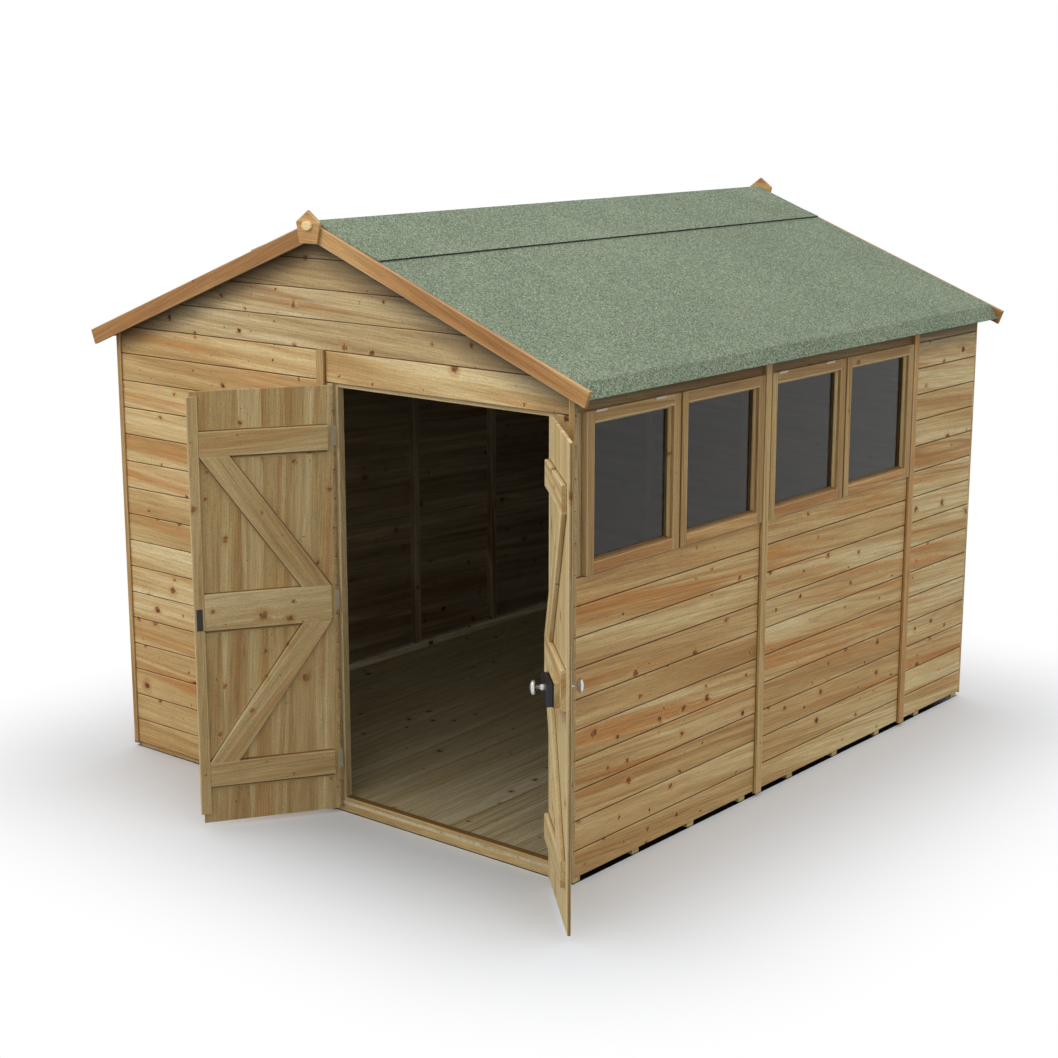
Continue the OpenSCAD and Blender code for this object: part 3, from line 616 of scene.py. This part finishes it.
work = Timber()
for face in (axes(Z, Y, X, (half_w, 0, 0)), axes(Z, Y, -X, (-half_w, 0, 0))):
    for kind, y in enumerate(joint_y):
        cover_strip(work, y, roof_under(half_w + strip_t), face, -0.2, kind)
for face, x in ((front_up, gable_joint), (back_up, 0)):
    cover_strip(work, x, wall_top, face, 0.6)
work.make("joint_trim", "trim_pine", (trim_pine, barge_pine), "cover_strips")


# Floor and framing

work = Timber()
last_bearer = in_y - bearer_w / 2
for i in range(9):
    y = -last_bearer + i * last_bearer / 4
    section = eased(y - bearer_w / 2, y + bearer_w / 2, 0, bearer_h, 0.002)
    work.length(section, -in_x, in_x, axes(X, Y, Z), cut=0.1)
work.make("bearers", "pine", (door_pine,), "floor_bearers")

work = Timber()
plank_w = 2 * in_x / 22
for i in range(22):
    x0 = -in_x + i * plank_w
    x1 = x0 + plank_w - 0.0004
    groove = [(0, 0, 0), (0, 0.006, -0.6), (0.001, 0.0116, -0.2), (0.002, plank_t, 0)]
    # Each plank is painted darker towards the doorway: painted shade
    work.length(between(x0, x1, groove, groove), -in_y, in_y, axes(Y, X, Z, (0, 0, bearer_h)), cut=0.1,
                cut_wear=dice.choice((0.2, 1.2, 2.2)), painted_start_shade=0.28)
planks = work.make("floor_planks", "floor_pine", (floor_pine,), "floor_boards")

# Rails run along X or Y, drawn up the wall and through its depth; studs stand along Z
front_rail, back_rail = axes(X, Z, Y, (0, -in_y, 0)), axes(X, Z, -Y, (0, in_y, 0))
right_rail, left_rail = axes(Y, Z, -X, (in_x, 0, 0)), axes(Y, Z, X, (-in_x, 0, 0))
front_stud, back_stud = axes(Z, X, Y, (0, -in_y, 0)), axes(Z, X, -Y, (0, in_y, 0))
right_stud, left_stud = axes(Z, Y, -X, (in_x, 0, 0)), axes(Z, Y, X, (-in_x, 0, 0))
foot, head = floor_top + rail_h, wall_top - rail_h
jamb_left, jamb_right = doorway_left + stop_w, doorway_right - stop_w

# The sill's top is darker
work = Timber()
section = [(v, w, -1.0 if v > floor_top + sill_h - 0.001 else wear)
           for v, w, wear in eased(floor_top, floor_top + sill_h, 0, frame_d, 0.002)]
work.length(section, jamb_left, jamb_right, front_rail, tone=1.1)
work.make("sill", "trim_pine", (door_pine,), "doorway_sill")


def rail(work, place, low, high, start, end, tone=None, kind=0):
    work.length(eased(low, high, 0, frame_d, 0.0015), start, end, place, tone, kind=kind)


def stud(work, place, middle, low, high, width=stud_w, kind=0):
    rail(work, place, middle - width / 2, middle + width / 2, low, high, kind=kind)


work = Timber()
end_x = room_x - stud_w / 2
for x in (-end_x, -end_x / 2, gable_joint - stud_w / 2):
    stud(work, front_stud, x, foot, head)
for x in (-end_x, -end_x / 2, 0, end_x / 2, end_x):
    stud(work, back_stud, x, foot, head)
for place in (front_stud, back_stud):
    stud(work, place, 0, wall_top, roof_under(stud_w / 2))
for x in (jamb_left - jamb_w / 2, jamb_right + jamb_w / 2):
    stud(work, front_stud, x, floor_top, head, jamb_w)
work.make("gable_uprights", "pine", (jamb_pine,), "gable_studs")

work = Timber()
rail(work, front_rail, floor_top, foot, -room_x, jamb_left - jamb_w)
# The lintel over the doorway shows from outside
rail(work, front_rail, doorway_top - stop_w, doorway_top - stop_w + lintel_h, jamb_left, jamb_right, kind=1)
for place, low in ((front_rail, head), (back_rail, head), (back_rail, floor_top)):
    rail(work, place, low, low + rail_h, -room_x, room_x)
work.make("gable_crossrails", "pine", (rail_pine, jamb_pine), "gable_rails")

# Sloping top rails, drawn along the roof's slope from the ridge line
cos, sin = tilt, tilt * slope
down_right, up_right = Vector((cos, 0, -sin)), Vector((sin, 0, cos))
down_left, up_left = Vector((-cos, 0, -sin)), Vector((-sin, 0, cos))
slopes = ((down_right, up_right), (down_left, up_left))


def down_slope(x, z):
    """Place of a point (x, z) of the right slope, along and square to the slope, from the roof's peak."""
    z -= roof_under(0)
    return x * cos - z * sin, x * sin + z * cos


work = Timber()
near, low_x, slack = stud_w / 2, (roof_under(0) - rail_h - wall_top) / slope, 0.0002
for y, through in ((-in_y, Y), (in_y, -Y)):
    for along, square in slopes:
        outline = [down_slope(*p) for p in (
            (near, roof_under(near) - slack), (room_x, roof_under(room_x) - slack),
            (room_x, wall_top + slack), (low_x, wall_top + slack), (near, roof_under(near) - rail_h))]
        work.plate(outline, frame_d, 0.001, axes(along, square, through, (0, y, roof_under(0))))
work.make("gable_top_rails", "pine", (sawn_pine,), "gable_rafters")

work = Timber()
ends = (-in_y + stud_w / 2, in_y - stud_w / 2)
for place in (right_stud, left_stud):
    for y in ends + joint_y:
        # The stud beside the first window shows from outside
        stud(work, place, y, foot, head, kind=1 if place is right_stud and y == ends[0] else 0)
for (start, _), (_, end) in (windows[:2], windows[2:]):
    stud(work, right_stud, (start + end) / 2, foot, window_low - rail_h)
for y in ((ends[0] + joint_y[0]) / 2, (joint_y[0] + joint_y[1]) / 2):
    stud(work, left_stud, y, foot, head)
work.make("side_uprights", "pine", (sawn_pine, jamb_pine), "side_wall_studs")

work = Timber()
for place in (right_rail, left_rail):
    for z in (floor_top, head):
        rail(work, place, z, z + rail_h, -in_y, in_y, 0.15)
for y0, y1 in ((-in_y + stud_w, joint_y[0] - stud_w / 2), (joint_y[0] + stud_w / 2, joint_y[1] - stud_w / 2)):
    for z in (window_low - rail_h, window_top):
        rail(work, right_rail, z, z + rail_h, y0, y1)
work.make("side_crossrails", "pine", (rail_pine,), "side_wall_rails")


# Windows

arris = 0.0026


def stile(y, starts):
    """Section of a window stile: its outer side is painted dark in the gap to its neighbour, painted shade;
    the first one's shows, painted pale, a painted highlight on a side in shade."""
    outer, side = y if starts else y + member, 1.4 if y == windows[0][0] else -1
    return [(v, w, side if abs(v - outer) < arris and w > 0.5 * window_d else wear)
            for v, w, wear in eased(y, y + member, 0, window_d, 0.0025)]


stiles, crossrails, beads = Timber(), Timber(), Timber()
upright, level = axes(Z, Y, X, (window_x - window_d, 0, 0)), axes(Y, Z, X, (window_x - window_d, 0, 0))
for y0, y1 in windows:
    for y in (y0, y1 - member):
        stiles.length(stile(y, y == y0), window_low, window_top, upright, cut=-0.4)
    for kind, z in ((1, window_low), (0, window_top - member)):
        # The top rail's lower edge is painted pale, a painted highlight; the lower rail is of redder stock
        section = [(v, w, 2.4 if kind == 0 and v < z + arris and w > window_d - 0.004 else wear)
                   for v, w, wear in eased(z, z + member, 0, window_d, 0.0025)]
        crossrails.length(section, y0 + member, y1 - member, level, kind=kind)
    # Beads round the glass, mitred: two upright, then the lower, painted dark as painted shade, and the
    # upper; each is painted a little dark where it meets the frame
    opening = (y0 + member, y1 - member, window_low + member, window_top - member)
    for k, edge in enumerate(opening):
        inward, wear = 1 if k in (0, 2) else -1, -1 if k == 2 else 0.4
        (start, end), place = (opening[2:], upright) if k < 2 else (opening[:2], level)
        toe, crest = edge + inward * 0.01, edge + inward * 0.005
        section = [(edge, glass_w, 0), (toe, glass_w, 0), (toe, glass_w + 0.004, wear),
                   (crest, glass_w + 0.011, wear), (edge, glass_w + 0.012, -0.4)]
        beads.length(section, lambda v: start + (v - edge) * inward, lambda v: end - (v - edge) * inward,
                     place, 0.1)
stiles.make("window_uprights", "trim_pine", (trim_pine,), "window_stiles")
crossrails.make("window_crossrails", "trim_pine", (trim_pine, barge_pine), "window_rails")
beads.make("glazing_beads", "trim_pine", (trim_pine,))

panes = [((y0 + member, window_low + member, glass_w - glass_t), (y1 - member, window_top - member, glass_w),
          level) for y0, y1 in windows]
sheet_of(panes, "window_panes", "glass", glass, 0.0005, "window_glass")

# Small flush hinges along the top of the two opening windows: a leaf on the rail and a knuckle each
hinge_half = 0.032
tube = [(0, -hinge_half), (0.002, -hinge_half), (0.0026, -0.0314), (0.0026, 0.0314), (0.002, hinge_half),
        (0, hinge_half)]
leaves, knuckles = [], []
for y0, y1 in (windows[0], windows[2]):
    for y in (y0 + 0.082, y1 - 0.13):
        leaves.append(((y - hinge_half, window_top - 0.008, window_x - 0.0002),
                       (y + hinge_half, window_top - 0.002, window_x + 0.0008), axes(Y, Z, X)))
        knuckles.append((tube, axes(X, Z, Y, (window_x + 0.0012, y, window_top - 0.0008))))
sheet_of(leaves, "window_hinge_leaves", "steel", dull_zinc, 0.0003)
turned(knuckles, "window_hinge_knuckles", "steel", dull_zinc, sides=16)


# Roof

run = (eave_x - felt_t) / cos
for name, (along, square) in zip(("right", "left"), slopes):
    work, place = Timber(), axes(Y, along, square, (0, 0, roof_under(0) + roof_seat))
    for i in range(12):
        # The first board stands off the ridge
        v0, v1, t = 0.005 if i == 0 else i * run / 12, (i + 1) * run / 12 - 0.0004, roof_board_t
        section = [(v0, 0.002, -0.6), (v0 + 0.002, 0, 0), (v1 - 0.002, 0, 0), (v1, 0.002, -0.6), (v1, t, 0),
                   (v0, t, 0)]
        if i == 11:
            # The last board stops where the felt starts to droop
            section[2:5] = [(v1 - 0.042, 0, 0), (v1 - 0.04, 0.002, -0.6), (v1 - 0.055, t, 0)]
        work.length(section, -roof_y, roof_y, place, cut=0.5)
    work.make("roof_deck_" + name, "pine", (sawn_pine,), "roof_boards_" + name)

work = Timber()
for sign in (1, -1):
    # Eave, middle and ridge battens, by their outer edge; the eave ones are set in behind the felt
    for x, reach in ((eave_x - 0.038, roof_y), (half_w / 2, room_y), (stud_w / 2 + batten_w, room_y)):
        v0, v1, z0, z1 = sign * (x - batten_w), sign * x, roof_under(x - batten_w), roof_under(x)
        section = [(v0, z0, 0), (v1, z1, 0), (v1, z1 - batten_h, 0.3), (v0, z0 - batten_h, 0.3)]
        work.length(section, -reach, reach, axes(Y, X, Z))
work.make("roof_rails", "pine", (sawn_pine,), "roof_battens")


def felt_sheet(name, outer, inner, *nodes):
    """A sheet of felt: its outer and inner lines in (x, z), run along the roof. Its long cut edges show the
    bitumen."""
    steps, line = 77, outer + inner[::-1]
    rows = [-roof_y + 2 * roof_y * i / steps for i in range(steps + 1)]
    mesh = drawn(name, [(x, y, z) for y in rows for x, z in line], skin(0, len(line), steps + 1), 40)
    cut = (len(outer) - 1, len(line) - 1)
    mesh.polygons.foreach_set("material_index", [int(k in cut) for k in range(len(line))] * steps + [0, 0])
    return settle(mesh, (felt, bitumen), nodes)


# The slope sheet droops over the eave: it bends with 26 mm radius, then hangs at 35 degrees from upright
bend_r, square_to, hang = 0.026, math.radians(69), math.radians(35)
low = felt_top(eave_x) - felt_lip
droop = (bend_r * math.sin(hang) + felt_lip - bend_r / tilt + bend_r / math.tan(hang) * math.cos(hang)) / (
    1 / math.tan(hang) - slope)
bend_x, bend_z = eave_x - droop, felt_top(eave_x - droop) - bend_r / tilt
outer, inner = [], []
for k in range(13):
    x = k / 12 * bend_x
    outer.append((x, felt_top(x)))
    inner.append((x, felt_top(x) - felt_t / tilt))
for k in range(9):
    a = square_to + (hang - square_to) * k / 8
    for line, r in ((outer, bend_r), (inner, bend_r - felt_t)):
        line.append((bend_x + r * math.cos(a), bend_z + r * math.sin(a)))
outer.append((eave_x, low))
inner.append((eave_x - felt_t * math.cos(hang), low - felt_t * math.sin(hang)))
for name, sign in (("right", 1), ("left", -1)):
    felt_sheet("felt_slope_" + name, [(sign * x, z) for x, z in outer], [(sign * x, z) for x, z in inner],
               "roof_felt_" + name)

# The ridge sheet lifts by 3 mm towards its edges
outer, inner = [], []
for k in range(-16, 17):
    x = k / 16 * ridge_sheet
    z = felt_top(x) + 0.0004 + 0.003 * max(0, abs(k) - 12) / 4
    inner.append((x, z))
    outer.append((x, z + felt_t / tilt + 0.0006))
felt_sheet("felt_ridge", outer, inner, "roof_ridge_felt")


# Bargeboards, finials and their buttons

work = Timber()
barge_top = (felt_top(0) - roof_under(0)) * cos
for y, through in ((-roof_y, -Y), (roof_y, Y)):
    for (along, square), tone in zip(slopes, (0.2, 1.2)):
        section = eased(barge_top - barge_w, barge_top, 0, barge_t, 0.0025)
        work.length(section, lambda v: 0.0005 / cos + v * slope, barge_end / cos,
                    axes(along, square, through, (0, y, roof_under(0))), tone, cut=0.75)
work.make("barges", "trim_pine", (barge_pine,), "bargeboards")

work = Timber()
finial_y, finial_z = roof_y + barge_t, ridge_h - 0.085
shoulder, peak = finial_z + 0.081, finial_z + 0.126
outline = [(-0.046, finial_z), (0.046, finial_z), (0.064, shoulder), (0, peak), (-0.064, shoulder)]
for y, through in ((-finial_y, -Y), (finial_y, Y)):
    work.plate(outline, finial_t, 0.003, axes(X, Z, through, (0, y, 0)), tone=-0.5)
work.make("gable_finials", "trim_pine", (barge_pine,), "finials")

# An oval button, 52 by 36 mm, with a rounded rim
button = [(0, 0), (0.024, 0), (0.024, 0.005), (0.0236, 0.0066), (0.0222, 0.0078), (0.019, 0.0083),
          (0.01, 0.0086), (0, 0.0087)]
oval, button_y, button_z = Matrix.Diagonal((1.08, 0.75, 1, 1)), finial_y + finial_t, finial_z + 0.068
turned([(button, axes(X, Z, -Y, (0, -button_y, button_z)) @ oval),
        (button, axes(X, Z, Y, (0, button_y, button_z)) @ oval)],
       "finial_buttons", "trim_pine", button_pine, "finial_discs")


# Doors


def door(side, hang, reach, deep):
    """Boards, ledges and braces of one leaf. Reach is how far its ledges run from the hinge edge, deep the
    tone of its timber."""
    body, near, far = side + "_door", pin_x + ledge_inset, pin_x + reach
    upright, level = hang @ axes(Z, X, -Y, (0, door_in, 0)), hang @ axes(X, Z, Y, (0, door_in, 0))
    boards, width = Timber(), leaf_w / 6
    groove = [(0.0003, 0, 0), (0, 0.0004, -0.3), (0, 0.0085, -1), (0.003, door_t, 0.5), (0.007, door_t, 0)]
    for i in range(6):
        x0, x1 = pin_x + i * width, pin_x + (i + 1) * width - 0.0002
        boards.length(between(x0, x1, groove, groove), door_low, door_top, upright, dice.random() + deep)
    boards.make(body + "_planks", "pine", (door_pine,), body + "_boards", body=body)

    ledges = Timber()
    # Each ledge has a painted contact shadow on the boards, 14 mm below it and 5 mm above
    for z, h in zip(ledge_z, ledge_h):
        ledges.length(eased(z - h / 2, z + h / 2, 0, ledge_t, 0.0025, (0.014, 0.005)), near, far, level,
                      dice.uniform(0.2, 0.5) + deep)
    if side == "right":
        packing = eased(lock_z - lock_h / 2, lock_z + lock_h / 2, 0, lock_pad, 0.002)
        ledges.length(packing, lock_end - lock_w, lock_end, hang @ axes(X, Z, Y, (0, ledge_in, 0)), tone=0.3)
    ledges.make(body + "_crossbars", "pine", (door_pine,), body + "_ledges", body=body)

    braces = Timber()
    low, middle, high = [(z - h / 2, z + h / 2) for z, h in zip(ledge_z, ledge_h)]
    for (x0, z0), (x1, z1) in (((far - brace_w, low[1]), (near, middle[0])),
                               ((near, middle[1]), (far - brace_w, high[0]))):
        run = Vector((x1 - x0, z1 - z0)).normalized()
        square = Vector((run.y, -run.x))
        inner, outer = brace_gap, brace_w - brace_gap
        corners = [Vector(c) for c in (
            (x0 + inner, z0), (x0 + outer, z0), (x1 + outer, z1), (x1 + inner, z1))]
        place = hang @ axes(Vector((run.x, 0, run.y)), Vector((square.x, 0, square.y)), Y, (0, door_in, 0))
        # A painted contact shadow of 6 mm runs round each brace on the boards
        braces.plate([(c.dot(run), c.dot(square)) for c in corners], ledge_t, 0.0022, place,
                     dice.uniform(0.2, 0.5) + deep, 0.006)
    braces.make(body + "_diagonals", "pine", (door_pine,), body + "_braces", body=body)


door("left", left_hang, meeting_x, 0.0)
door("right", right_hang, leaf_w - 0.062, -0.6)

# Meeting batten, rebated to lap over the right leaf
work = Timber()
x0, x1, x2, t = pin_x + meeting_x, pin_x + leaf_w, pin_x + leaf_w + meeting_lap, ledge_t
section = [(x0 + 0.002, 0, 0), (x1, 0, 0), (x1, door_gap, 0), (x2 - 0.001, door_gap, 0), (x2, 0.007, 0.5),
           (x2, 0.0155, 0.6), (x2 - 0.0025, t, 0.8), (x2 - 0.007, t, 0), (x0 + 0.007, t, 0),
           (x0 + 0.0025, t, 0.8), (x0, 0.0155, 0.5), (x0, 0.002, 0)]
work.length(section, floor_top + sill_h + door_gap, doorway_top - stop_w - door_gap,
            left_hang @ axes(Z, X, Y, (0, door_in, 0)), tone=0.7)
work.make("left_door_stop_batten", "pine", (door_pine,), "left_door_meeting_batten", body="left_door")

# Keep for the lock's bolt: a plate with a raised staple
flat, k0 = left_hang @ axes(X, Z, Y, (0, ledge_in, 0)), pin_x + meeting_x + 0.0095
sheet_of([((k0, lock_z - 0.043, 0), (k0 + 0.023, lock_z + 0.043, 0.0025), flat),
          ((k0 + 0.003, lock_z - 0.034, 0.0024), (k0 + 0.02, lock_z + 0.034, 0.004), flat)],
         "lock_keep", "black_iron", black_enamel, 0.0008, "left_door_keep", body="left_door")

# Rim lock: a pressed case on a thin flange, on its packing piece
flat, flange = right_hang @ axes(X, Z, Y, (0, ledge_in + lock_pad, 0)), 0.003
k0, k1, low, high = lock_end - lock_w, lock_end, lock_z - lock_h / 2, lock_z + lock_h / 2
sheet_of([((k0, low, 0), (k1, high, flange), flat),
          ((k0 + flange, low + flange, 0.0029), (k1 - flange, high - flange, lock_t), flat)],
         "lock_case", "black_iron", black_enamel, 0.0022, "right_door_lock", body="right_door")


def knob(reach):
    """Small round rose, narrow neck and egg-shaped head of a turned knob."""
    head_r, head_half = 0.027, 0.0122
    profile = [(0, 0), (0.0118, 0), (0.0118, 0.01), (0.011, 0.0128), (0.0072, 0.014), (0.0054, 0.0165),
               (0.0054, reach - 0.029), (0.0085, reach - 0.0235)]
    for k in range(16):
        a = math.radians(-70 + 160 * k / 16)
        profile.append((head_r * math.cos(a), reach - head_half + head_half * math.sin(a)))
    return profile + [(0, reach)]


knob_x = lock_end - lock_w / 2
turned([(knob(0.05), right_hang @ axes(X, Z, Y, (knob_x, ledge_in + lock_pad + lock_t, knob_z))),
        (knob(0.064), right_hang @ axes(X, Z, -Y, (knob_x, door_out, knob_z)))],
       "door_knobs", "steel", plated_steel, "right_door_knobs", body="right_door")

for node in ("hinge_frame_leaves", "left_door_hinge_leaves", "right_door_hinge_leaves"):
    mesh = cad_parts[node].data
    mesh.materials.clear()
    mesh.materials.append(dull_zinc)


# Studio: pale floor, soft light all round, a large soft light from the front left


def looked_at(add):
    """1 for what is looked at, straight on, mirrored or through glass, 0 for light that is only thrown on."""
    path = add("LightPath").outputs
    seen = add("Math/ADD", path["Is Camera Ray"], path["Is Glossy Ray"])
    return add("Math/ADD", seen, path["Is Transmission Ray"], use_clamp=True)


def studio_floor():
    """Matt paper. Under the shed it is painted dark, painted shade where little light gets; beside it it is
    pale grey, and within 1.4 m it melts into white emission, painted light that cuts the shed's shadow short.
    The light it throws back is a quiet grey."""
    material, add = new_material("studio_paper")
    seen = looked_at(add)
    where = add("TexCoord").outputs["Object"]
    # Distance from a rectangle that holds the walls and most of the open doors
    centred = add("VectorMath/SUBTRACT", where, (0.1325, -0.15, 0))
    beyond = add("VectorMath/SUBTRACT", add("VectorMath/ABSOLUTE", centred), (1.1125, 1.37, 0))
    away = add("VectorMath/LENGTH", add("VectorMath/MAXIMUM", beyond, (0, 0, 0)))
    near = add("Mix/RGBA", seen, colour("#8c8c8c"), colour("#eaedf1"))
    # Painted shade under the shed's floor
    plan = add("VectorMath/ABSOLUTE", where)
    sides = add("SeparateXYZ", add("VectorMath/SUBTRACT", plan, (half_w - 0.004, half_l - 0.004, 0)))
    most = add("Math/MAXIMUM", sides, sides.outputs[1])
    under = add("Math/LESS_THAN", most, 0)
    shade = add("Mix/RGBA", under, near, colour("#1c1b1a"))
    far = add("MapRange/SMOOTHSTEP", away, 0, 1.4)
    melt = add("Math/MULTIPLY", far, seen)
    white = add("Emission", colour("#ffffff"))
    add("OutputMaterial", add("MixShader", melt, add("BsdfDiffuse", shade), white))
    return material


mesh = drawn("studio_floor", [(-60, -60, 0), (60, -60, 0), (60, 60, 0), (-60, 60, 0)], [(0, 1, 2, 3)])
mesh.materials.append(studio_floor())
floor = put("studio_floor", mesh)

world = bpy.data.worlds.new("studio")
bpy.context.scene.world = world
world.use_nodes = True
add = nodes_in(world.node_tree)
strength = add("MapRange", looked_at(add), To_Min=0.95, To_Max=1)
add("OutputWorld", add("Background", colour("#ffffff"), Strength=strength))

lamp = bpy.data.lights.new("softbox", "AREA")
lamp.shape, lamp.size, lamp.energy = "DISK", 4.0, 300.0
softbox = put("softbox", lamp)
softbox.location = (-3.6, -7.2, 7.6)
softbox.rotation_euler = (Vector((0, -0.5, 1.0)) - softbox.location).to_track_quat("-Z", "Y").to_euler()
# The softbox is flagged off the paper and the floor inside, which only the light all round reaches
flagged = bpy.data.collections.new("flagged_off")
for k, shaded in enumerate((floor, planks)):
    flagged.objects.link(shaded)
    flagged.collection_objects[k].light_linking.link_state = "EXCLUDE"
softbox.light_linking.receiver_collection = flagged

# Camera fitted to the photo's straight edges, with its focal length in the photo's pixels
photo_px, focal_px = 1058, 1995.79
lens = bpy.data.cameras.new("camera")
lens.sensor_width = 36.0
lens.lens = focal_px / photo_px * lens.sensor_width
camera = put("camera", lens)
camera.location = (5.5169, -6.9277, 2.9312)
camera.rotation_euler = Vector((-0.62082, 0.75161, -0.22284)).to_track_quat("-Z", "Y").to_euler()
bpy.context.scene.camera = camera
bpy.context.scene.view_settings.view_transform = "Standard"
